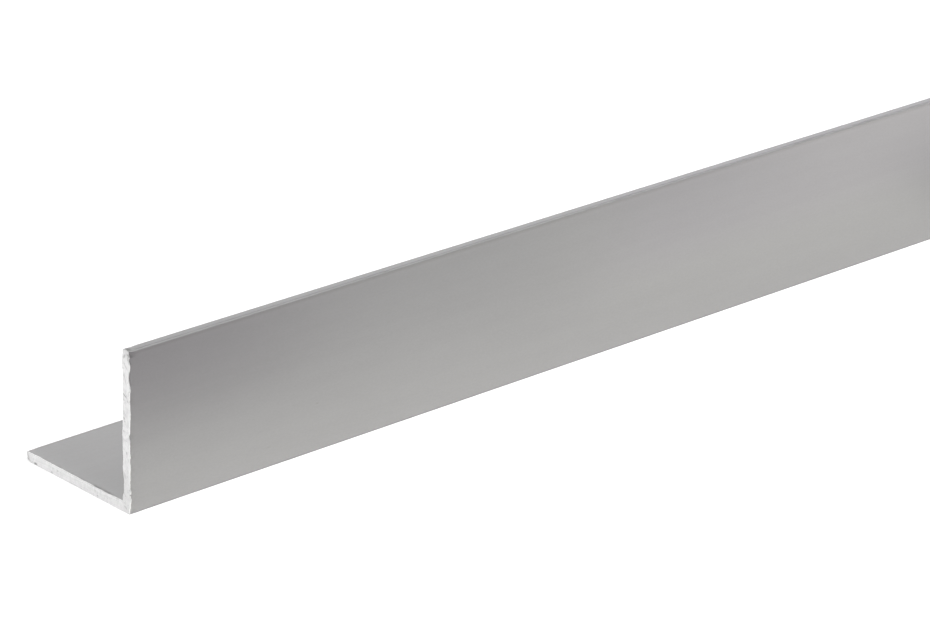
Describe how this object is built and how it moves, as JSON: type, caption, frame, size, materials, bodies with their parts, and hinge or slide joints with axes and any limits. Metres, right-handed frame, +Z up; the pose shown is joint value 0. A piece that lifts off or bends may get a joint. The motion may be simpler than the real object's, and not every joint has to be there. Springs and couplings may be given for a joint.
{
  "type": "metal angle section",
  "caption": "Long straight L-shaped bar of thin aluminium, with two equal legs at a right angle, small edge radii and square sawn ends.",
  "frame": {"origin": "middle of the base leg's underside, which is also the bottom centre of the bounding box", "axes": "+X along the bar; +Y across it, from the heel to the toe of the base leg; +Z up. The upright leg stands along the -Y side and faces -Y."},
  "size_m": [0.9144, 0.0254, 0.0254],
  "materials": {
    "satin_aluminium": "satin extruded, with bright sawn ends"
  },
  "bodies": {
    "root": {"aluminium_angle": "satin_aluminium"}
  },
  "joints": []
}
